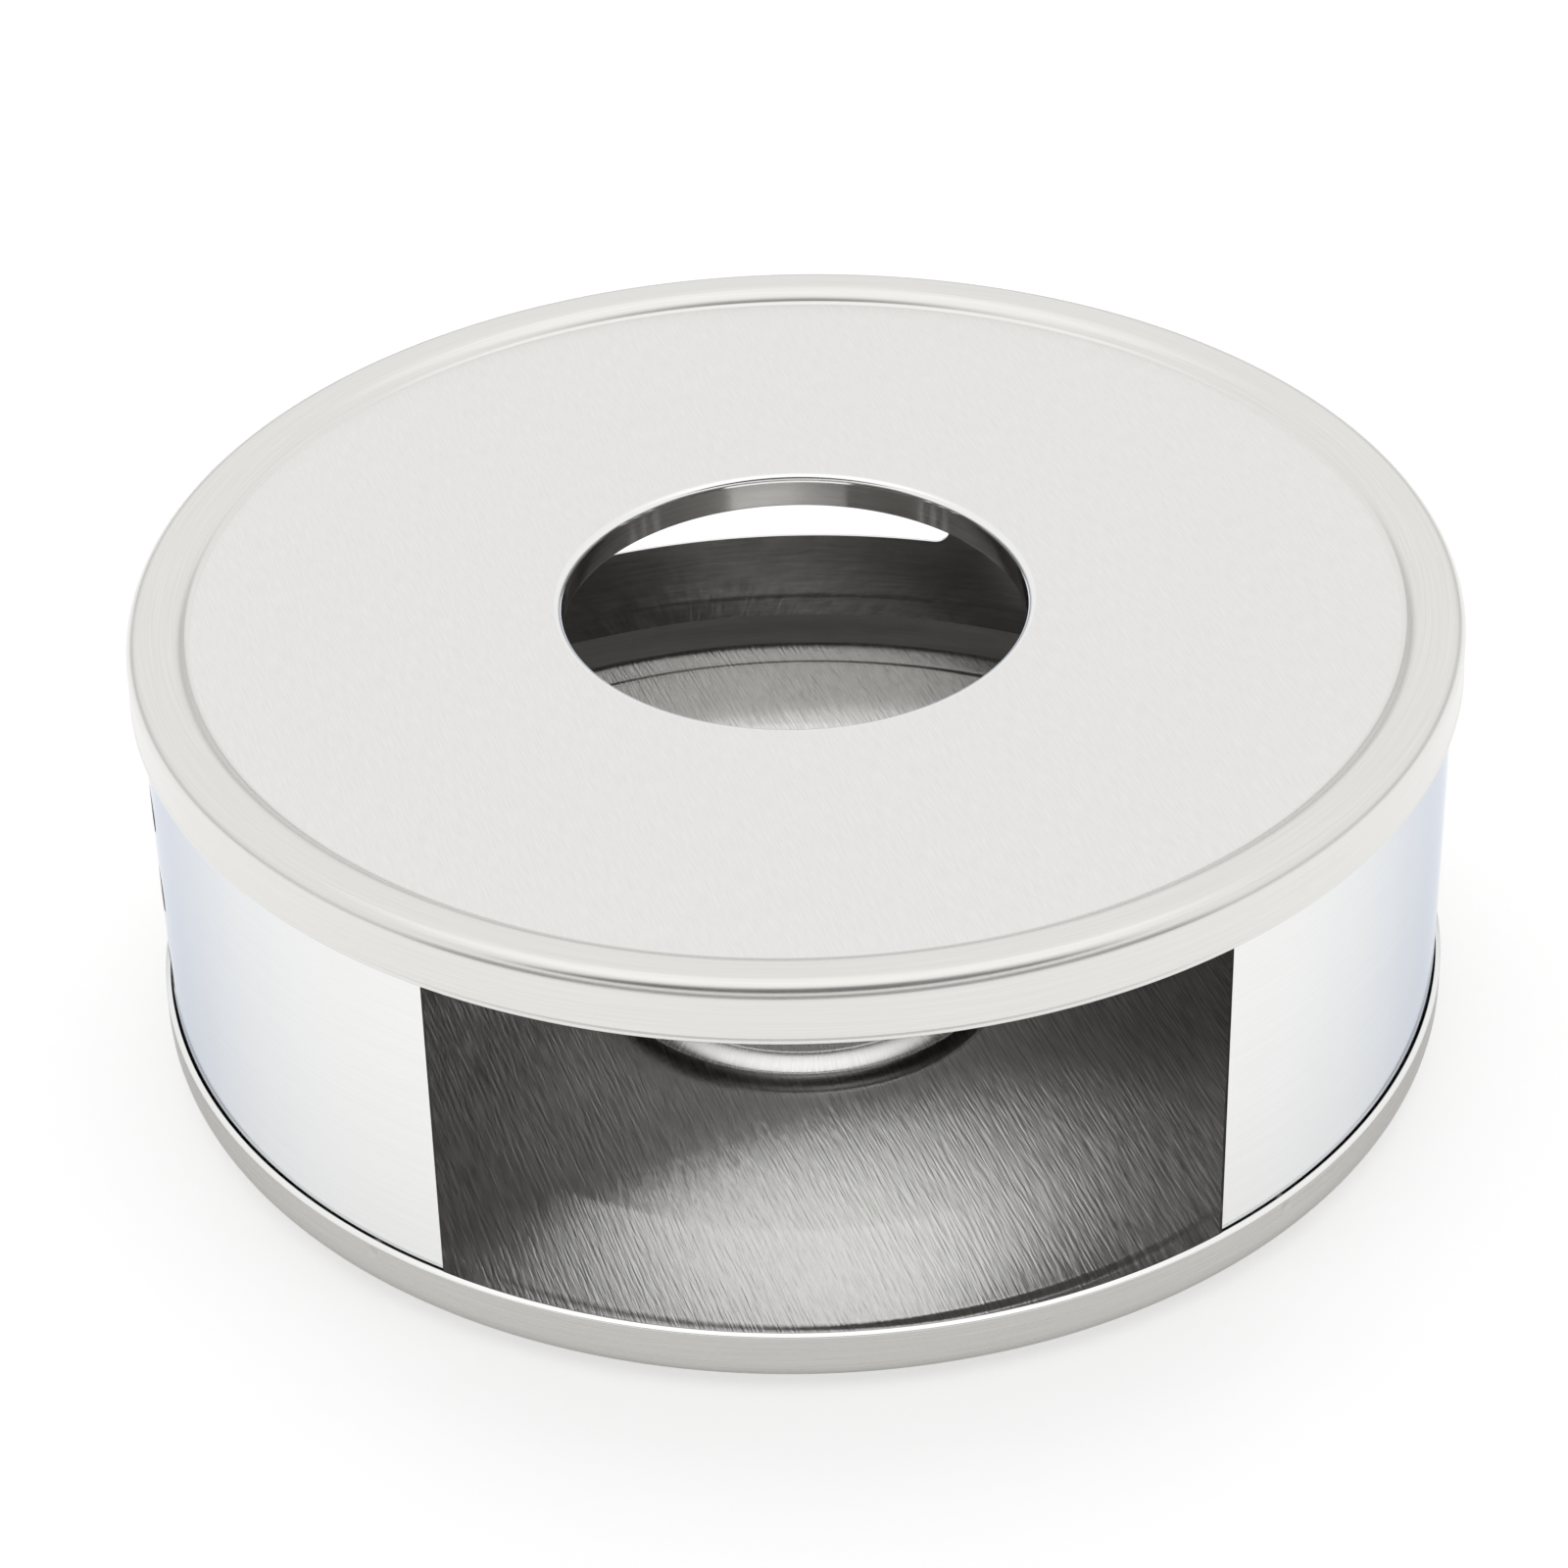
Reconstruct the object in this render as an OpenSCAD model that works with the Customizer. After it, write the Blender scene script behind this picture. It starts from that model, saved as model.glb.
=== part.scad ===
// Teapot warmer: a pressed sheet-steel stove for one tealight.
// A rolled wall band stands in a pressed base tray and carries a pressed lid with a heat hole.
// A loose candle cup stands on the tray's floor. The front opening faces -Y and +Z is up.
// The origin is on the table, under the middle of the tray.

/* [Overall] */
// Outside diameter of the lid's skirt
lid_d = 150; // [130:1:180]
// Height from the table to the top of the lid's rim
overall_h = 53.5; // [48:0.5:70]
// Thickness of the pressed sheet
sheet_t = 0.4; // [0.3:0.05:0.6]

/* [Lid] */
// Height of the skirt that grips the wall band
skirt_h = 7; // [5:0.5:10]
// Height of the trimmed hem along the skirt's lower edge
hem_h = 0.6; // [0.3:0.1:1]
// How far the hem stands out from the skirt
hem_out = 0.1; // [0.05:0.05:0.2]
// Outside radius of the bend from the rim into the skirt
shoulder_r = 2; // [1:0.1:2.2]
// Width of the raised rim, from the skirt's outside to the rim's inner edge
rim_w = 4.1; // [3:0.1:8]
// Depth of the plate below the rim
recess_depth = 1.4; // [0.6:0.1:2]
// Width of the bend that joins the rim to the plate
step_w = 3; // [1.6:0.1:3.4]
// Diameter of the heat hole at its throat
hole_d = 52.6; // [50:0.2:60]
// Radius of the drawn lip round the heat hole
lip_r = 0.8; // [0.7:0.1:2]
// Depth of the hole's collar below the plate
collar_h = 4; // [3:0.1:6]

/* [Wall band] */
// Gap between the wall band and the lid's skirt
lid_gap = 0.6; // [0.2:0.05:0.8]
// Gap between the wall band's upper edge and the lid's bend
head_gap = 0.3; // [0.2:0.1:0.6]
// Angle of the front opening between the band's free ends
front_angle = 68.8; // [50:0.2:90]
// Width of the rear window
rear_w = 46.4; // [30:0.2:60]
// Height of the rear window's sill above the table
rear_sill = 15; // [12:0.5:20]
// Distance from the rear window's top to the lid's skirt
rear_drop = 4.5; // [2:0.5:8]
// Corner radius of the rear window
rear_corner_r = 2; // [1:0.5:5]
// Diameter of a vent hole
vent_d = 5.4; // [3:0.2:6.4]
// Rows of vent holes on each side
vent_rows = 3; // [1:1:3]
// Columns of vent holes on each side
vent_columns = 3; // [1:1:5]
// Height of the lowest row of vent holes above the table
vent_low = 13.2; // [12:0.2:15]
// Distance between rows of vent holes
vent_pitch = 11; // [7:0.5:11]
// Angle between columns of vent holes
vent_turn = 9; // [6:0.5:10]

/* [Base tray] */
// Gap between the wall band and the tray's rim
tray_gap = 0.4; // [0.3:0.05:0.8]
// Height of the tray's rim above the table
tray_h = 7.8; // [7:0.1:10]
// Outside radius of the bend from the rim into the foot
tray_corner_r = 4.5; // [3:0.1:5.5]
// Gap between the wall band's lower edge and the tray's bend
seat_gap = 0.1; // [0.05:0.05:0.3]
// Width of the flat foot ring
foot_w = 3.9; // [3:0.1:8]
// Width of the bend from the foot ring up to the floor
floor_step_w = 1.8; // [1.6:0.1:3]
// Height of the floor's underside above the table at the floor's edge
floor_edge_h = 0.35; // [0.3:0.05:0.8]
// How far the floor rises from its edge to its level middle
crown_h = 0.55; // [0.1:0.05:0.8]
// Width of the rising part of the floor
crown_w = 14.6; // [8:0.1:20]

/* [Candle cup] */
// Gap all round between the candle cup and the heat hole, so that the cup lifts out
cup_clear = 2.2; // [1.5:0.1:5]
// Gap between the candle cup and the tray's floor
cup_gap = 0.05; // [0.05:0.05:0.2]
// Depth of the cup's well below the crest of its rim
cup_depth = 1.85; // [1.6:0.05:2]
// Width of the bend from the crest into the well
cup_side_w = 2; // [2:0.1:3]
// Radius of the domed rim outside the crest
cup_dome_r = 6.5; // [5:0.5:8]
// Angle that the domed rim turns through on its way out from the crest
cup_dome_turn = 25; // [20:1:30]

/* [Spot welds] */
// Angle of the front pair of welds from the middle of the front opening
weld_angle = 41.5; // [38:0.5:60]
// Diameter of a weld
weld_d = 2.2; // [1.5:0.1:2.8]
// Height of the lid's welds above the skirt's lower edge
lid_weld_up = 1.8; // [1.5:0.1:4]
// Distance of the tray's welds below the top of the tray's rim
tray_weld_down = 1.4; // [1.2:0.1:2.2]
// Diameter of the electrode's dimple
dimple_d = 1.6; // [1:0.1:1.8]
// Depth of the electrode's dimple
dimple_depth = 0.12; // [0.05:0.01:0.15]
// Play between a weld button and each of its two sheets
weld_play = 0.05; // [0.05:0.01:0.08]

/* [Hidden] */
$fn = 180;
// Straight pieces in each bend of a profile
bend_steps = 8;
// Spare length on a cutting shape
spare = 1;

lid_r = lid_d / 2;
skirt_z = overall_h - skirt_h;
plate_z = overall_h - recess_depth;
hole_r = hole_d / 2;

wall_r = lid_r - sheet_t - lid_gap;
tray_r = wall_r + tray_gap + sheet_t;
corner_middle_r = tray_r - tray_corner_r;
corner_inside_r = tray_corner_r - sheet_t;
wall_reach = wall_r - corner_middle_r;
wall_z = tray_corner_r - sqrt(corner_inside_r * corner_inside_r - wall_reach * wall_reach) + seat_gap;
lid_bend_r = shoulder_r - sheet_t;
lid_reach = max(0, lid_bend_r - lid_gap);
wall_top = overall_h - shoulder_r + sqrt(lid_bend_r * lid_bend_r - lid_reach * lid_reach) - head_gap;
rear_top = skirt_z - rear_drop;

foot_inside_r = corner_middle_r - foot_w;
floor_r = foot_inside_r - floor_step_w;
floor_rise = floor_edge_h + crown_h;
floor_z = floor_rise + sheet_t;
crown_r = floor_r - crown_w;

cup_r = hole_r - cup_clear;
cup_crest_r = cup_r - cup_dome_r * sin(cup_dome_turn);
cup_crest_z = floor_z + cup_gap + sheet_t + cup_depth;

lid_weld_z = skirt_z + lid_weld_up;
tray_weld_z = tray_h - tray_weld_down;
weld_turns = [weld_angle, 180 - weld_angle, 180 + weld_angle, 360 - weld_angle];
dimple_ball_r = (dimple_d * dimple_d / 4 + dimple_depth * dimple_depth) / (2 * dimple_depth);

steel = "gainsboro";
bright_steel = "whitesmoke";
weld_steel = "darkgray";

// Points of an arc about centre c, from angle a0 to angle a1
function arc(c, r, a0, a1) = [
    for (i = [0 : bend_steps])
        let (a = a0 + (a1 - a0) * i / bend_steps) c + r * [cos(a), sin(a)]
];

// Points of an S-shaped bend that runs inwards from p over width w and rises by d.
// Where d is negative it drops. lift is how far the face lies above the one that p is on.
function s_bend(p, w, d, lift) =
    let (r = (w * w + d * d) / (4 * abs(d)), turn = 2 * atan(abs(d) / w), end = p + [-w, d])
    d > 0
        ? concat(arc(p + [0, r], r - lift, -90, -90 - turn), arc(end - [0, r], r + lift, 90 - turn, 90))
        : concat(arc(p - [0, r], r + lift, 90, 90 + turn), arc(end + [0, r], r - lift, -90 + turn, -90));

// The lid's face from the skirt to the collar, sunk by depth below the outside face
function lid_face(depth) = concat(
    arc([lid_r - shoulder_r, overall_h - shoulder_r], shoulder_r - depth, 0, 90),
    s_bend([lid_r - rim_w, overall_h], step_w, -recess_depth, -depth),
    arc([hole_r + lip_r, plate_z - lip_r], lip_r - depth, 90, 180),
    [[hole_r + depth, plate_z - collar_h]]
);

// The tray's face from the rim to the middle of the floor, lifted by lift above the outside face
function tray_face(lift) = concat(
    [[tray_r - lift, tray_h]],
    arc([corner_middle_r, tray_corner_r], tray_corner_r - lift, 0, -90),
    s_bend([foot_inside_r, 0], floor_step_w, floor_edge_h, lift),
    [[crown_r, floor_rise + lift], [0, floor_rise + lift]]
);

// The candle cup's face from its edge to the middle of its well, sunk by depth below the top face
function cup_face(depth) = concat(
    arc([cup_crest_r, cup_crest_z - cup_dome_r], cup_dome_r - depth, 90 - cup_dome_turn, 90),
    s_bend([cup_crest_r, cup_crest_z], cup_side_w, -cup_depth, -depth),
    [[0, cup_crest_z - cup_depth - depth]]
);

// The same points, last one first
function reversed(points) = [for (i = [len(points) - 1 : -1 : 0]) points[i]];

// Carries a shape from the front of the warmer round to the given angle
module at_turn(angle) {
    rotate([0, 0, angle]) children();
}

// A round bar that points straight out of the warmer's front at height z
module outward_bar(d, z) {
    translate([0, 0, z]) rotate([90, 0, 0]) cylinder(d = d, h = tray_r + spare);
}

// The electrode's dimple, pressed into a face of radius r at height z
module dimple(r, z) {
    translate([0, -(r + dimple_ball_r - dimple_depth), z]) sphere(r = dimple_ball_r);
}

// Four weld buttons at height z that reach from radius r0 to radius r1
module weld_buttons(r0, r1, z) {
    for (angle = weld_turns)
        intersection() {
            translate([0, 0, z - weld_d]) difference() {
                cylinder(r = r1, h = 2 * weld_d);
                translate([0, 0, -spare]) cylinder(r = r0, h = 2 * weld_d + 2 * spare);
            }
            at_turn(angle) outward_bar(weld_d, z);
        }
}

// A rectangle with round corners, from its lower left corner
module round_rectangle(w, h, r) {
    translate([r, 0]) square([w - 2 * r, h]);
    translate([0, r]) square([w, h - 2 * r]);
    for (x = [r, w - r])
        for (y = [r, h - r])
            translate([x, y]) circle(r = r);
}

module rear_window() {
    translate([rear_w / 2, 0, rear_sill]) rotate([90, 0, 180])
        linear_extrude(wall_r + spare) round_rectangle(rear_w, rear_top - rear_sill, rear_corner_r);
}

module vent_holes() {
    for (side = [-90, 90])
        for (column = [0 : vent_columns - 1])
            for (row = [0 : vent_rows - 1])
                at_turn(side + (column - (vent_columns - 1) / 2) * vent_turn)
                    outward_bar(vent_d, vent_low + row * vent_pitch);
}

module base_tray() {
    color(steel) difference() {
        rotate_extrude() polygon(concat(tray_face(0), reversed(tray_face(sheet_t))));
        for (angle = weld_turns)
            at_turn(angle) dimple(tray_r, tray_weld_z);
    }
}

module wall_band() {
    color(bright_steel) difference() {
        rotate([0, 0, front_angle / 2 - 90]) rotate_extrude(angle = 360 - front_angle)
            translate([wall_r - sheet_t, wall_z]) square([sheet_t, wall_top - wall_z]);
        rear_window();
        vent_holes();
    }
}

module tray_spot_welds() {
    color(weld_steel) weld_buttons(wall_r + weld_play, tray_r - sheet_t - weld_play, tray_weld_z);
}

module top_lid() {
    hem = [
        [lid_r - sheet_t, skirt_z],
        [lid_r + hem_out, skirt_z],
        [lid_r + hem_out, skirt_z + hem_h],
        [lid_r, skirt_z + hem_h + hem_out]
    ];
    color(steel) difference() {
        rotate_extrude() polygon(concat(hem, lid_face(0), reversed(lid_face(sheet_t))));
        for (angle = weld_turns)
            at_turn(angle) dimple(lid_r, lid_weld_z);
    }
}

module lid_spot_welds() {
    color(weld_steel) weld_buttons(wall_r + weld_play, lid_r - sheet_t - weld_play, lid_weld_z);
}

module candle_cup() {
    color(bright_steel) rotate_extrude() polygon(concat(cup_face(0), reversed(cup_face(sheet_t))));
}

base_tray();
wall_band();
tray_spot_welds();
top_lid();
lid_spot_welds();
candle_cup();
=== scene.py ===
"""Looks of a pressed stainless-steel teapot warmer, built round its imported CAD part. Sizes are in millimetres."""

import math

import bpy
import numpy as np
from mathutils import Matrix, Vector


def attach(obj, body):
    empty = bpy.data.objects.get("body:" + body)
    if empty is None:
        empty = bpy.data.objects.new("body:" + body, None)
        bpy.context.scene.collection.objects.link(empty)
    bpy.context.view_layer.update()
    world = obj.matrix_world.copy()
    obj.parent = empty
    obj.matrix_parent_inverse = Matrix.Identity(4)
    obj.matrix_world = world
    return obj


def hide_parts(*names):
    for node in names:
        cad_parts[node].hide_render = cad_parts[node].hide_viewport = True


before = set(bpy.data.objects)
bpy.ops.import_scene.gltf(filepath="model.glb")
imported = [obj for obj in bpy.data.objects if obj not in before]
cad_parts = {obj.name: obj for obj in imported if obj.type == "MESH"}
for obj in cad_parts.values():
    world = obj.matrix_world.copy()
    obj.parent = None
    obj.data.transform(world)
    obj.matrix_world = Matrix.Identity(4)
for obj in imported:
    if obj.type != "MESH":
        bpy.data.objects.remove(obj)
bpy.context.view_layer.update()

# Base tray: one disc of stainless sheet, pressed into a tray with a round corner, a bevelled hem and a raised floor.
# The sheet was brushed in one direction before pressing, and the upright rim was polished on a spindle afterwards.
# The wall band stands inside the rim and is spot-welded to it.
MM = 0.001
SHEET = 0.4
TRAY_R, TRAY_H, TRAY_CORNER = 74.8, 7.8, 4.5
TRAY_HEM_W, TRAY_HEM_H, TRAY_BEVEL = 0.62, 0.5, 31  # the bevel in degrees
HEM_ROUND_OUT, HEM_ROUND_IN, HEM_ROUND_LOW = 0.15, 0.12, 0.1
FOOT_IN, FOOT_LEAN = 66.4, 0.22  # the lean is how far the foot ring's upper face rises inwards
FLOOR_STEP, EDGE_RISE = 1.8, 0.35
CROWN_R, CROWN_H, CROWN_BEND = 50.0, 0.55, 0.8
BRUSH = math.radians(-75)
WELDS = [math.radians(from_front - 90) for from_front in (41.5, 138.5, 221.5, 318.5)]
TRAY_WELD_Z, TRAY_WELD_REACH = 6.4, 0.85
DIMPLE_R, DIMPLE_DEPTH = 0.8, 0.12
DIMPLE_STEPS, DIMPLE_MARGIN = 41, 1.2  # points across a dimple, and how many radii out they go
ON_FACE = 0.05  # how near to the welded face a point has to be for the dimple to reach it
SIDES, SHORTEST, AXIS_R = 288, 1e-4, 1e-3  # faces round a piece, its shortest step, and a radius just off the axis


def arc(centre, radius, start, end, steps=12):
    """Points of an arc in the plane of radius and height, with its angles in degrees."""
    turns = np.radians(np.linspace(start, end, steps + 1))
    return [(centre[0] + radius * math.cos(t), centre[1] + radius * math.sin(t)) for t in turns]


def s_bend(start, width, rise, lift, share=0.5):
    """An S-shaped bend that runs inwards from start. lift is how far the face lies above the one that start is on.

    share is the first bend's part of the two radii.
    """
    radii = (width**2 + rise**2) / (2 * abs(rise))
    first, second = radii * share, radii * (1 - share)
    turn = math.degrees(2 * math.atan(abs(rise) / width))
    r, z = start
    if rise > 0:
        line = arc((r, z + first), first - lift, -90, -90 - turn)
        return line + arc((r - width, z + rise - second), second + lift, 90 - turn, 90)
    line = arc((r, z - first), first + lift, 90, 90 + turn)
    return line + arc((r - width, z + rise + second), second - lift, -90 + turn, -90)


def weld_rows(radius, height, reach):
    """Closely set points up a face, so that the dimples of its welds come out round."""
    return [(radius, height + z) for z in np.linspace(-reach, reach, DIMPLE_STEPS)]


def dimples(angles, radius, height, face):
    """The weld electrodes' round marks in a face of that (radius, height): how far they sink and tilt each point."""
    ball = (DIMPLE_R**2 + DIMPLE_DEPTH**2) / (2 * DIMPLE_DEPTH)
    out = np.stack([np.cos(angles), np.sin(angles), 0 * angles], -1)
    side = np.stack([-np.sin(angles), np.cos(angles), 0 * angles], -1)
    above = height - face[1]
    sunk, tilted = 0, 0
    for weld in WELDS:
        aside = radius * ((angles - weld + math.pi) % (2 * math.pi) - math.pi)
        far = np.hypot(aside, above)
        on = (far < DIMPLE_R) & (np.abs(radius - face[0]) < ON_FACE)
        sink = np.where(on, np.sqrt(np.maximum(ball**2 - far**2, 0)) - ball + DIMPLE_DEPTH, 0)
        slope = np.where(on, 1 / ball, 0)
        sunk = sunk + sink[..., None] * out
        tilted = tilted + slope[..., None] * (aside[..., None] * side + above[..., None] * np.array([0, 0, 1.0]))
    return sunk, tilted


def lathe(name, runs, dimple=None):
    """Spins runs of (outline, brushing, material) round Z into one mesh.

    An outline is walked with the metal on its left. Each run has its own points, so that its brushing keeps its own
    map: "line" follows the sheet's brushing, "ring" goes round and "spoke" runs along the outline.
    Long faces keep true normals beside short bends. dimple is the (radius, height) of the face that is spot-welded.
    """
    angles = set(np.linspace(0, 2 * math.pi, SIDES + 1)[:-1])
    if dimple:
        near = np.linspace(-DIMPLE_MARGIN, DIMPLE_MARGIN, DIMPLE_STEPS) * DIMPLE_R / dimple[0]
        for weld in WELDS:
            angles |= set((weld + near) % (2 * math.pi))
    angles = np.array(sorted(angles) + [2 * math.pi])
    count = len(angles)
    c, s = np.cos(angles), np.sin(angles)
    points, normals, maps, faces, slots, materials = [], [], [], [], [], []
    for outline, brushing, material in runs:
        line = [outline[0]]
        for point in outline[1:]:
            if math.dist(point, line[-1]) > SHORTEST:
                line.append(point)
        line = np.array(line)
        steps = np.diff(line, axis=0)
        sides = np.c_[steps[:, 1], -steps[:, 0]]
        lean = np.vstack([sides, [[0, 0]]]) + np.vstack([[[0, 0]], sides])
        lean /= np.linalg.norm(lean, axis=1)[:, None]
        radius, height = np.maximum(line[:, :1], AXIS_R), line[:, 1:]
        spot = np.stack([radius * c, radius * s, np.repeat(height, count, 1)], -1)
        tilt = np.stack([lean[:, :1] * c, lean[:, :1] * s, np.repeat(lean[:, 1:], count, 1)], -1)
        if dimple:
            sunk, tilted = dimples(angles, radius, height, dimple)
            spot -= sunk
            tilt -= tilted
        if brushing == "line":
            x, y = spot[..., 0], spot[..., 1]
            with_lines = x * math.cos(BRUSH) + y * math.sin(BRUSH)
            over_lines = y * math.cos(BRUSH) - x * math.sin(BRUSH)
            chart = np.stack([with_lines, over_lines], -1)
        else:
            along = np.r_[0, np.cumsum(np.linalg.norm(steps, axis=1))]
            chart = np.stack([angles * radius.max() + 0 * radius, np.repeat(along[:, None], count, 1)], -1)
            if brushing == "spoke":
                chart = chart[..., ::-1]
        if material not in materials:
            materials.append(material)
        base = sum(len(p) for p in points)
        for i in range(len(line) - 1):
            for j in range(count - 1):
                a = base + i * count + j
                faces.append((a, a + 1, a + count + 1, a + count))
                slots.append(materials.index(material))
        points.append(spot.reshape(-1, 3))
        normals.append(tilt.reshape(-1, 3))
        maps.append(chart.reshape(-1, 2))
    points, normals, maps = np.vstack(points), np.vstack(normals), np.vstack(maps)
    normals /= np.linalg.norm(normals, axis=1)[:, None]
    mesh = bpy.data.meshes.new(name)
    mesh.from_pydata((points * MM).tolist(), [], faces)
    chart = mesh.uv_layers.new(name="brushing")
    corners = np.array([loop.vertex_index for loop in mesh.loops])
    chart.data.foreach_set("uv", (maps[corners] * MM).ravel())
    for material in materials:
        mesh.materials.append(material)
    mesh.polygons.foreach_set("material_index", slots)
    mesh.polygons.foreach_set("use_smooth", [True] * len(faces))
    mesh.normals_split_custom_set_from_vertices(normals.tolist())
    piece = bpy.data.objects.new(name, mesh)
    bpy.context.scene.collection.objects.link(piece)
    return piece


def linear(code):
    """A colour written as sRGB hex, as the linear colour that shaders take."""
    parts = [int(code[i : i + 2], 16) / 255 for i in (1, 3, 5)]
    return [p / 12.92 if p <= 0.04045 else ((p + 0.055) / 1.055) ** 2.4 for p in parts] + [1.0]


def add(tree, kind, settings=None, links=None):
    """Adds a node, sets its properties or sockets by name, and links outputs into its sockets."""
    made = tree.nodes.new(kind)
    for name, value in (settings or {}).items():
        if hasattr(made, str(name)):
            setattr(made, name, value)
        else:
            made.inputs[name].default_value = value
    for name, output in (links or {}).items():
        tree.links.new(output, made.inputs[name])
    return made


QUARTER_TURN = 0.25
NOISE_LOW, NOISE_HIGH = 0.35, 0.65  # most of a noise lies between these


def steel(name, colour, stain, roughness, spread, anisotropy, lines, scratch, wave, edge_tint="#ffffff"):
    """Stainless steel whose fine lines run along its map's first axis and spread reflections across themselves.

    stain is how much of the colour the darkest lines lose, and spread is how far the roughness swings between lines.
    lines is a line's length and width, and scratch is its depth.
    wave is the depth and the length of the slow waves that pressing leaves in the sheet.
    edge_tint is the colour that mirror images take on where the face is seen at a slant.
    """
    made = bpy.data.materials.new(name)
    made.use_nodes = True
    tree = made.node_tree
    shader = tree.nodes["Principled BSDF"]
    shader.inputs["Metallic"].default_value = 1.0
    shader.inputs["Specular Tint"].default_value = linear(edge_tint)
    shader.inputs["Anisotropic"].default_value = anisotropy
    shader.inputs["Anisotropic Rotation"].default_value = QUARTER_TURN
    grain = add(tree, "ShaderNodeTangent", {"direction_type": "UV_MAP", "uv_map": "brushing"})
    tree.links.new(grain.outputs["Tangent"], shader.inputs["Tangent"])

    where = add(tree, "ShaderNodeTexCoord")
    length, width = lines
    fit = {"Scale": (1 / (length * MM), 1 / (width * MM), 1.0)}
    stretched = add(tree, "ShaderNodeMapping", fit, {"Vector": where.outputs["UV"]})
    fine = {"Scale": 1.0, "Detail": 2.0, "Roughness": 0.6}
    streak = add(tree, "ShaderNodeTexNoise", fine, {"Vector": stretched.outputs["Vector"]})
    middle = {"From Min": NOISE_LOW, "From Max": NOISE_HIGH}
    share = add(tree, "ShaderNodeMapRange", middle, {"Value": streak.outputs["Fac"]})
    swing = {"To Min": roughness - spread, "To Max": roughness + spread}
    gloss = add(tree, "ShaderNodeMapRange", swing, {"Value": share.outputs["Result"]})
    tree.links.new(gloss.outputs["Result"], shader.inputs["Roughness"])
    tint = add(tree, "ShaderNodeMix", {"data_type": "RGBA"}, {"Factor": share.outputs["Result"]})
    in_lines, between, mixed = tint.inputs[6], tint.inputs[7], tint.outputs[2]
    in_lines.default_value = [(1 - stain) * part for part in linear(colour)[:3]] + [1.0]
    between.default_value = linear(colour)
    tree.links.new(mixed, shader.inputs["Base Color"])

    wave_depth, wave_length = wave
    slow = {"Scale": 1 / (wave_length * MM), "Detail": 1.0}
    swell = add(tree, "ShaderNodeTexNoise", slow, {"Vector": where.outputs["Object"]})
    bent = {"Distance": wave_depth * MM, "Strength": 1.0}
    sheet = add(tree, "ShaderNodeBump", bent, {"Height": swell.outputs["Fac"]})
    cut = {"Distance": scratch * MM, "Strength": 1.0}
    into_sheet = {"Height": streak.outputs["Fac"], "Normal": sheet.outputs["Normal"]}
    face = add(tree, "ShaderNodeBump", cut, into_sheet)
    tree.links.new(face.outputs["Normal"], shader.inputs["Normal"])
    return made


# Brushed with a belt: a silky sheen that stretches each reflection across the lines, with light and dark streaks.
# Real lines are under 0.1 mm wide. They are drawn at 0.35 mm, so that they show.
brushed = steel(
    "stainless_brushed",
    "#f4f3f1",
    stain=0.25,
    roughness=0.22,
    spread=0.03,
    anisotropy=1.0,
    lines=(6, 0.35),
    scratch=0.075,
    wave=(0.02, 40),
)
# Rolled dull: an even grey without a mirror image, its grey partly painted shade for the faces inside and under the
# warmer. Its faint rolling lines are drawn at 0.4 mm, so that they show.
dull_painted_shade = steel(
    "stainless_dull_painted_shade",
    "#c0bebc",
    stain=0.15,
    roughness=0.6,
    spread=0.05,
    anisotropy=0.2,
    lines=(8, 0.4),
    scratch=0.001,
    wave=(0.05, 30),
)
# Bright annealed: nearly a mirror, as white as what stands round it. Its bluish grey where it is seen at a slant is a
# painted reflection of the bluish shade on the table round it.
# Its long rolling lines are drawn at 0.4 mm, so that they just show.
bright = steel(
    "stainless_bright_annealed",
    "#efefed",
    stain=0.02,
    roughness=0.11,
    spread=0.01,
    anisotropy=0.3,
    lines=(30, 0.4),
    scratch=0.0001,
    wave=(0.03, 45),
    edge_tint="#dfe4ee",
)
# Polished on a spindle: a soft gloss with long fine rings, drawn at 0.25 mm so that they show. Its grey colour and
# grey slant tint are painted shade, standing in for the shaded table close by that the low rim mirrors.
polished_rim_painted_shade = steel(
    "stainless_spindle_polished_painted_shade",
    "#d0ceca",
    stain=0.1,
    roughness=0.3,
    spread=0.04,
    anisotropy=0.5,
    lines=(20, 0.25),
    scratch=0.0006,
    wave=(0.02, 40),
    edge_tint="#dcdcdc",
)

floor_rise = EDGE_RISE + CROWN_H
floor_z = floor_rise + SHEET
corner = (TRAY_R - TRAY_CORNER, TRAY_CORNER)
foot_mid = ((FOOT_IN + corner[0]) / 2, 0)


def tray_floor(lift, lean):
    """The floor from the foot ring's inner edge to its own middle, lifted by lift above the underside.

    lean is how far the foot ring's face has risen at that edge.
    """
    line = s_bend((FOOT_IN, lean), FLOOR_STEP, EDGE_RISE - lean, lift)
    fall = CROWN_H * CROWN_BEND / 2 / (FOOT_IN - FLOOR_STEP - CROWN_R)
    line += [(CROWN_R + CROWN_BEND / 2, floor_rise - fall + lift), (CROWN_R - CROWN_BEND / 2, floor_rise + lift)]
    return line + [(0, floor_rise + lift)]


hem_in, hem_low = TRAY_R - TRAY_HEM_W, TRAY_H - TRAY_HEM_H
bevel_in = arc((hem_in + HEM_ROUND_IN, TRAY_H - HEM_ROUND_IN), HEM_ROUND_IN, 90 - TRAY_BEVEL, 180)
bevel_out = arc((TRAY_R - HEM_ROUND_OUT, 0), HEM_ROUND_OUT, 0, 90 - TRAY_BEVEL)
bevel_fall = (bevel_out[-1][0] - bevel_in[0][0]) * math.tan(math.radians(TRAY_BEVEL))
bevel_low = bevel_in[0][1] - bevel_fall - bevel_out[-1][1]
tray_hem = [(r, z + bevel_low) for r, z in bevel_out] + bevel_in
tray_hem += arc((hem_in + HEM_ROUND_LOW, hem_low + HEM_ROUND_LOW), HEM_ROUND_LOW, 180, 270)
tray_hem += [(TRAY_R - SHEET, hem_low)]
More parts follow.
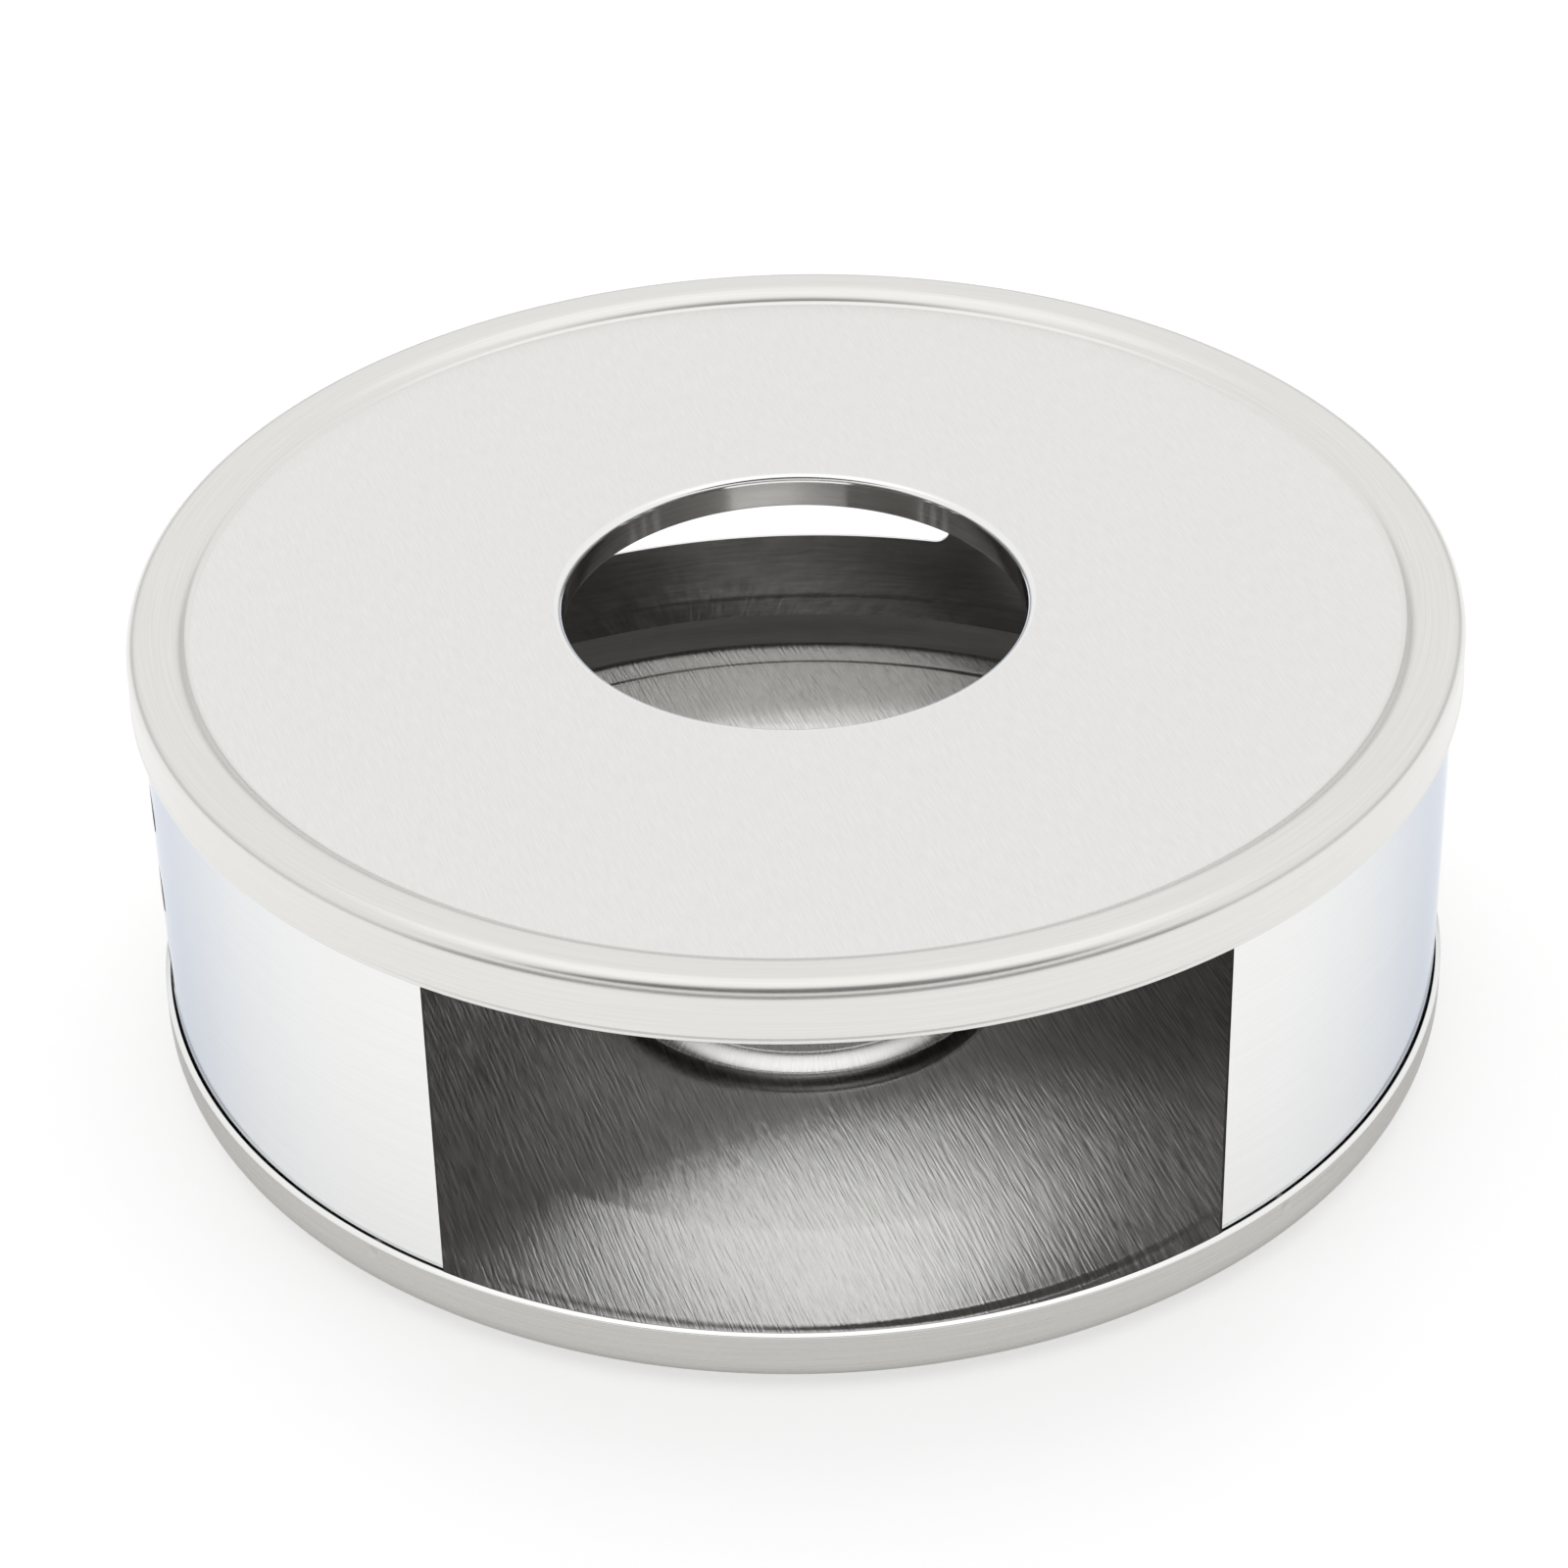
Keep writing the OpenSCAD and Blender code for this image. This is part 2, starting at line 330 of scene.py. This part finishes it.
rim = [foot_mid] + arc(corner, TRAY_CORNER, -90, 0) + weld_rows(TRAY_R, TRAY_WELD_Z, TRAY_WELD_REACH) + [tray_hem[0]]
lean_turn = math.degrees(math.atan(FOOT_LEAN / (corner[0] - FOOT_IN)))
rim_inside = [tray_hem[-1]] + arc(corner, TRAY_CORNER - SHEET, 0, lean_turn - 90)
tray = lathe(
    "tray",
    [
        (tray_floor(0, 0)[::-1] + [foot_mid], "line", brushed),
        # The rim's outer face is darkened as painted shade.
        (rim, "ring", polished_rim_painted_shade),
        (tray_hem, "ring", bright),
        # The rim's inner face, behind the wall, takes the dull grey: painted shade.
        (rim_inside, "ring", dull_painted_shade),
        ([rim_inside[-1]] + tray_floor(SHEET, FOOT_LEAN), "line", brushed),
    ],
    dimple=(TRAY_R, TRAY_WELD_Z),
)
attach(tray, "warmer")
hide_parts("base_tray")

# Wall band: a strip of bright annealed stainless, punched with the vents and the rear window and rolled into a C.
# Its two free ends frame the front opening. It is the shiniest piece, because nothing was done to its outer face.
# It stands in the tray's corner, and the lid's skirt fits over it.
WALL_R, WALL_LOW, WALL_TOP, WALL_STEPS = 74.0, 2.83, 52.449, 400
FRONT_HALF = math.radians(34.4)
VENT_R, VENT_LOW, VENT_PITCH, VENT_STEPS = 2.7, 13.2, 11.0, 48
VENT_ROWS, VENT_COLUMNS, VENT_TURN = 3, (-1, 0, 1), math.radians(9)
WINDOW_W, WINDOW_LOW, WINDOW_TOP, WINDOW_CORNER = 46.4, 15.0, 42.0, 2.0
PUNCH_REACH = 8  # how far a punch goes past the wall on both sides
SQUARE_ON = 0.9  # how squarely a face has to look outwards or inwards to be one of the rolled sides

# Mill finish, as this side of the strip was left as it was rolled: a clear mirror image, made darker as painted shade
# for the inside of the warmer and the collar in the hole.
# Its rolling lines are drawn at 0.4 mm, so that they show.
mill_painted_shade = steel(
    "stainless_mill_painted_shade",
    "#cccbc9",
    stain=0.1,
    roughness=0.1,
    spread=0.02,
    anisotropy=0.3,
    lines=(8, 0.4),
    scratch=0.0004,
    wave=(0.01, 30),
)

turns = np.linspace(FRONT_HALF, 2 * math.pi - FRONT_HALF, WALL_STEPS + 1) - math.pi / 2
section = [(WALL_R - SHEET, WALL_LOW), (WALL_R, WALL_LOW), (WALL_R, WALL_TOP), (WALL_R - SHEET, WALL_TOP)]
strip_points = [(r * math.cos(t) * MM, r * math.sin(t) * MM, z * MM) for t in turns for r, z in section]
strip_faces = [(0, 1, 2, 3), tuple(len(strip_points) - 1 - i for i in range(4))]
for i in range(WALL_STEPS):
    for j in range(4):
        a, b = 4 * i + j, 4 * i + (j + 1) % 4
        strip_faces.append((a, a + 4, b + 4, b))

punch_points, punch_faces = [], []


def punch(profile, turn):
    """Adds a cutter with that outline, across and up, which points out of the wall at that turn from the front."""
    start, count = len(punch_points), len(profile)
    c, s = math.cos(turn), math.sin(turn)
    for reach in (WALL_R - PUNCH_REACH, WALL_R + PUNCH_REACH):
        for across, up in profile:
            punch_points.append(((across * c + reach * s) * MM, (across * s - reach * c) * MM, up * MM))
    punch_faces.append(tuple(start + i for i in reversed(range(count))))
    punch_faces.append(tuple(start + count + i for i in range(count)))
    for i in range(count):
        k = (i + 1) % count
        punch_faces.append((start + i, start + k, start + count + k, start + count + i))


for side in (-1, 1):
    for column in VENT_COLUMNS:
        for row in range(VENT_ROWS):
            vent = arc((0, VENT_LOW + row * VENT_PITCH), VENT_R, 0, 360, VENT_STEPS)[:-1]
            punch(vent, side * math.pi / 2 + column * VENT_TURN)
half = WINDOW_W / 2 - WINDOW_CORNER
sill, head = WINDOW_LOW + WINDOW_CORNER, WINDOW_TOP - WINDOW_CORNER
window = arc((half, sill), WINDOW_CORNER, -90, 0) + arc((half, head), WINDOW_CORNER, 0, 90)
window += arc((-half, head), WINDOW_CORNER, 90, 180) + arc((-half, sill), WINDOW_CORNER, 180, 270)
punch(window, math.pi)

blanks = []
for name, points, faces in (("strip", strip_points, strip_faces), ("punches", punch_points, punch_faces)):
    mesh = bpy.data.meshes.new(name)
    mesh.from_pydata(points, [], faces)
    blanks.append(bpy.data.objects.new(name, mesh))
    bpy.context.scene.collection.objects.link(blanks[-1])
strip, punches = blanks
punching = strip.modifiers.new("punched", "BOOLEAN")
punching.operation, punching.object, punching.solver = "DIFFERENCE", punches, "EXACT"
bpy.context.view_layer.update()
mesh = bpy.data.meshes.new_from_object(strip.evaluated_get(bpy.context.evaluated_depsgraph_get()))
for blank in blanks:
    bpy.data.objects.remove(blank)

chart = mesh.uv_layers.new(name="brushing")
normals = [None] * len(mesh.loops)
inside = [False] * len(mesh.polygons)
for face in mesh.polygons:
    face.use_smooth = True
    for i in face.loop_indices:
        x, y, z = mesh.vertices[mesh.loops[i].vertex_index].co
        out = Vector((x, y, 0)).normalized()
        facing = out.dot(face.normal)
        normals[i] = out * math.copysign(1, facing) if abs(facing) > SQUARE_ON else face.normal
        inside[face.index] = facing < -SQUARE_ON
        chart.data[i].uv = (math.atan2(x, -y) * WALL_R * MM, z)
mesh.normals_split_custom_set(normals)
# Faces that look inwards take the darker mill material: painted shade on the inside of the band.
mesh.materials.clear()
mesh.materials.append(bright)
mesh.materials.append(mill_painted_shade)
mesh.polygons.foreach_set("material_index", inside)
wall = bpy.data.objects.new("wall", mesh)
bpy.context.scene.collection.objects.link(wall)
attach(wall, "warmer")
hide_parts("wall_band")

# Spot welds, between tray and wall and between lid and wall: buttons of fused steel in the gap between two sheets.
# Two electrodes press the sheets together there and melt them with a short current.
# As welded: dull, uneven and slightly brown from the heat.
welded = steel(
    "stainless_as_welded",
    "#a8a19a",
    stain=0.2,
    roughness=0.45,
    spread=0.1,
    anisotropy=0.0,
    lines=(0.6, 0.6),
    scratch=0.02,
    wave=(0.05, 2),
)
for name in ("tray_spot_welds", "lid_spot_welds"):
    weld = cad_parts[name]
    weld.data.materials.clear()
    weld.data.materials.append(welded)

# Lid: a disc of satin stainless, pressed with a skirt, a raised rim and a recessed plate, and drawn in round the hole.
# The plate keeps the sheet's fine satin, and the skirt and the rim were polished on a spindle.
# Its skirt fits over the wall band and is spot-welded to it.
LID_R, LID_TOP, SHOULDER = 75.0, 53.5, 2.0
SKIRT_Z, SKIRT_HEM_H, SKIRT_HEM_OUT = 46.5, 0.6, 0.1
SKIRT_ROUND_IN, SKIRT_ROUND_OUT = 0.1, 0.25
HEM_EASE, HEM_EASE_OUT = 0.15, 0.8  # the height over which the hem runs out, and its part of the width on the way
RIM_IN, STEP_W, RECESS, STEP_SHARE = 70.9, 3.0, 1.4, 0.77  # the share is the upper bend's part of the radii
HOLE_R, LIP, COLLAR_H = 26.3, 0.8, 4.0
LID_WELD_Z, LID_WELD_REACH = 48.3, 1.0

# Satin: an even pale glow without a clear image. Its short lines are drawn at 0.2 mm, so that they show.
satin = steel(
    "stainless_satin",
    "#e9e8e6",
    stain=0.06,
    roughness=0.34,
    spread=0.02,
    anisotropy=0.4,
    lines=(3, 0.2),
    scratch=0.0004,
    wave=(0.05, 40),
)
# Polished after pressing: a brighter gloss than the plate's, with soft light and dark lines along the bends.
polished_skirt = steel(
    "stainless_polished_after_pressing",
    "#e3e2df",
    stain=0.05,
    roughness=0.24,
    spread=0.02,
    anisotropy=0.5,
    lines=(20, 0.25),
    scratch=0.0003,
    wave=(0.02, 40),
)

edge = SHEET / 2
plate_z = LID_TOP - RECESS
plate_r = RIM_IN - STEP_W
collar_z = plate_z - COLLAR_H
lip_mid = HOLE_R + LIP
lip_bend = (lip_mid, plate_z - LIP)
shoulder = (LID_R - SHOULDER, LID_TOP - SHOULDER)


def lid_rim(depth):
    """The rim and the step down to the plate, sunk by depth below the top face."""
    step = s_bend((RIM_IN, LID_TOP), STEP_W, -RECESS, -depth, STEP_SHARE)
    return [(LID_R - SHOULDER, LID_TOP - depth)] + step


lip = [(lip_mid, plate_z)] + arc(lip_bend, LIP, 90, 180)
collar = [lip[-1]] + arc((HOLE_R + edge, collar_z + edge), edge, 180, 360)
collar += arc(lip_bend, LIP - SHEET, 180, 90) + [(lip_mid, plate_z - SHEET)]
hem_r, hem_top = LID_R + SKIRT_HEM_OUT, SKIRT_Z + SKIRT_HEM_H
skirt = lid_rim(SHEET)[::-1] + arc(shoulder, SHOULDER - SHEET, 90, 0)
skirt += [(LID_R - SHEET, SKIRT_Z + SKIRT_ROUND_IN)]
skirt += arc((LID_R - SHEET + SKIRT_ROUND_IN, SKIRT_Z + SKIRT_ROUND_IN), SKIRT_ROUND_IN, 180, 270)
skirt += arc((hem_r - SKIRT_ROUND_OUT, SKIRT_Z + SKIRT_ROUND_OUT), SKIRT_ROUND_OUT, -90, 0)
skirt += [(hem_r, hem_top - HEM_EASE), (LID_R + SKIRT_HEM_OUT * HEM_EASE_OUT, hem_top - HEM_EASE / 3)]
skirt += [(LID_R, hem_top + HEM_EASE)]
skirt += weld_rows(LID_R, LID_WELD_Z, LID_WELD_REACH)
skirt += arc(shoulder, SHOULDER, 0, 90) + lid_rim(0)
lid = lathe(
    "lid",
    [
        ([(plate_r, plate_z), (lip_mid, plate_z)], "line", satin),
        (lip, "ring", bright),
        # The collar takes the darker mill material: painted shade inside the hole.
        (collar, "ring", mill_painted_shade),
        # The plate's underside takes the dull grey: painted shade under the lid.
        ([(lip_mid, plate_z - SHEET), (plate_r, plate_z - SHEET)], "line", dull_painted_shade),
        (skirt, "ring", polished_skirt),
    ],
    dimple=(LID_R, LID_WELD_Z),
)
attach(lid, "warmer")
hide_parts("top_lid")

# Candle cup: a drip dish drawn from stainless sheet, loose on the tray's floor. Its well takes a tealight, which is
# not drawn.
# Its rim is turned over into a low dome and trimmed.
CUP_R, CUP_GAP, CUP_DEPTH, CUP_SIDE = 24.1, 0.05, 1.85, 2.0
DOME_R, DOME_TURN = 6.5, 25  # the turn in degrees

# Drawn: a pale gloss, broken into short rays by fine marks that run in towards the well.
# Real marks are under 0.1 mm wide. They are drawn at 0.3 mm, so that they show.
drawn = steel(
    "stainless_drawn",
    "#f6f5f3",
    stain=0.1,
    roughness=0.3,
    spread=0.05,
    anisotropy=0.8,
    lines=(4, 0.3),
    scratch=0.001,
    wave=(0.02, 20),
)

crest = (CUP_R - DOME_R * math.sin(math.radians(DOME_TURN)), floor_z + CUP_GAP + SHEET + CUP_DEPTH)
dome = (crest[0], crest[1] - DOME_R)


def cup_face(depth):
    """The cup from its edge to the middle of its well, sunk by depth below the top face."""
    line = arc(dome, DOME_R - depth, 90 - DOME_TURN, 90)
    return line + s_bend(crest, CUP_SIDE, -CUP_DEPTH, -depth) + [(0, crest[1] - CUP_DEPTH - depth)]


trim = arc(dome, DOME_R - edge, 90 - DOME_TURN, 90, 1)[0]
trim_round = arc(trim, edge, -90 - DOME_TURN, 90 - DOME_TURN)[1:-1]
cup = lathe("cup", [(cup_face(SHEET)[::-1] + trim_round + cup_face(0), "spoke", drawn)])
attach(cup, "cup")
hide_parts("candle_cup")

# Stage: a plain white table under soft light from all round, a little stronger from above and weaker at the horizon.
# On the camera's side it is a little stronger too, but for an unlit band half way up and a dim one close to the table.
TABLE_M, TABLE_DROP_M, TABLE_GLOW = 6, 0.00005, 0.5

bpy.ops.mesh.primitive_plane_add(size=TABLE_M, location=(0, 0, -TABLE_DROP_M))
table = bpy.context.object
table.name = "table"
# Matt white paper: it glows for the eye and for mirror images alone, so that it is white there and keeps its shadow.
paper = bpy.data.materials.new("white_paper")
paper.use_nodes = True
tree = paper.node_tree
shader = tree.nodes["Principled BSDF"]
shader.inputs["Base Color"].default_value = linear("#d0d0d0")
shader.inputs["Roughness"].default_value = 0.9
shader.inputs["Emission Color"].default_value = linear("#ffffff")
rays = add(tree, "ShaderNodeLightPath")
direct = add(tree, "ShaderNodeMath", {}, {0: rays.outputs["Is Camera Ray"], 1: rays.outputs["Is Glossy Ray"]})
seen = add(tree, "ShaderNodeMath", {}, {0: direct.outputs[0], 1: rays.outputs["Is Transmission Ray"]})
glow = add(tree, "ShaderNodeMath", {"operation": "MULTIPLY", 1: TABLE_GLOW}, {0: seen.outputs[0]})
tree.links.new(glow.outputs[0], shader.inputs["Emission Strength"])
table.data.materials.append(paper)


def rise(degrees):
    """The height, on a ball of radius 1, of a direction that many degrees above the horizon."""
    return math.sin(math.radians(degrees))


world = bpy.data.worlds.new("studio")
bpy.context.scene.world = world
world.use_nodes = True
tree = world.node_tree
sky = tree.nodes["Background"]
sky.inputs["Color"].default_value = linear("#ffffff")
where = add(tree, "ShaderNodeTexCoord")
parts = add(tree, "ShaderNodeSeparateXYZ", {}, {"Vector": where.outputs["Generated"]})
shares = {}
for name, axis, start, end in (
    ("front", "Y", -0.35, -0.6),
    ("over_low_lamps", "Z", rise(31.6), rise(33.6)),
    ("under_top_lamps", "Z", rise(76), rise(64)),
    ("near_table", "Z", rise(25), rise(15)),
    ("horizon", "Z", rise(18), rise(4)),
    ("overhead", "Z", 0.75, 0.95),
):
    soft = {"interpolation_type": "SMOOTHSTEP", "From Min": start, "From Max": end}
    shares[name] = add(tree, "ShaderNodeMapRange", soft, {"Value": parts.outputs[axis]}).outputs["Result"]
strength = None
for level, names in (
    (0.03, ("front", "over_low_lamps", "under_top_lamps")),
    (0.3, ("front", "near_table")),
    (1.25, ("front",)),
    (0.6, ("horizon",)),
    (1.2, ("overhead",)),
):
    share = shares[names[0]]
    for name in names[1:]:
        share = add(tree, "ShaderNodeMath", {"operation": "MULTIPLY"}, {0: share, 1: shares[name]}).outputs[0]
    factor = add(tree, "ShaderNodeMapRange", {"To Min": 1.0, "To Max": level}, {"Value": share}).outputs["Result"]
    if strength is not None:
        factor = add(tree, "ShaderNodeMath", {"operation": "MULTIPLY"}, {0: strength, 1: factor}).outputs[0]
    strength = factor
tree.links.new(strength, sky.inputs["Strength"])

AZIMUTH, ELEVATION, ROLL = math.radians(-2.2), math.radians(34.587), math.radians(1.43)
AIM, DISTANCE = Vector((-1.721, 0.066, 26.468)) * MM, 532.49 * MM
FOCAL_PX, FRAME_PX, SENSOR_W = 4694.19, 1600, 36
CLIP_START_M, CLIP_END_M = 0.01, 100

right = Vector((math.cos(AZIMUTH), math.sin(AZIMUTH), 0))
outward = Vector((math.sin(AZIMUTH), -math.cos(AZIMUTH), 0))
back = outward * math.cos(ELEVATION) + Vector((0, 0, math.sin(ELEVATION)))
up = back.cross(right)
across = right * math.cos(ROLL) - up * math.sin(ROLL)
above = right * math.sin(ROLL) + up * math.cos(ROLL)
camera = bpy.data.objects.new("camera", bpy.data.cameras.new("camera"))
bpy.context.scene.collection.objects.link(camera)
camera.data.sensor_width = SENSOR_W
camera.data.lens = FOCAL_PX / FRAME_PX * SENSOR_W
camera.data.clip_start, camera.data.clip_end = CLIP_START_M, CLIP_END_M
place = Matrix((across, above, back)).transposed().to_4x4()
place.translation = AIM + back * DISTANCE
camera.matrix_world = place
bpy.context.scene.camera = camera

bpy.context.scene.view_settings.view_transform = "Standard"
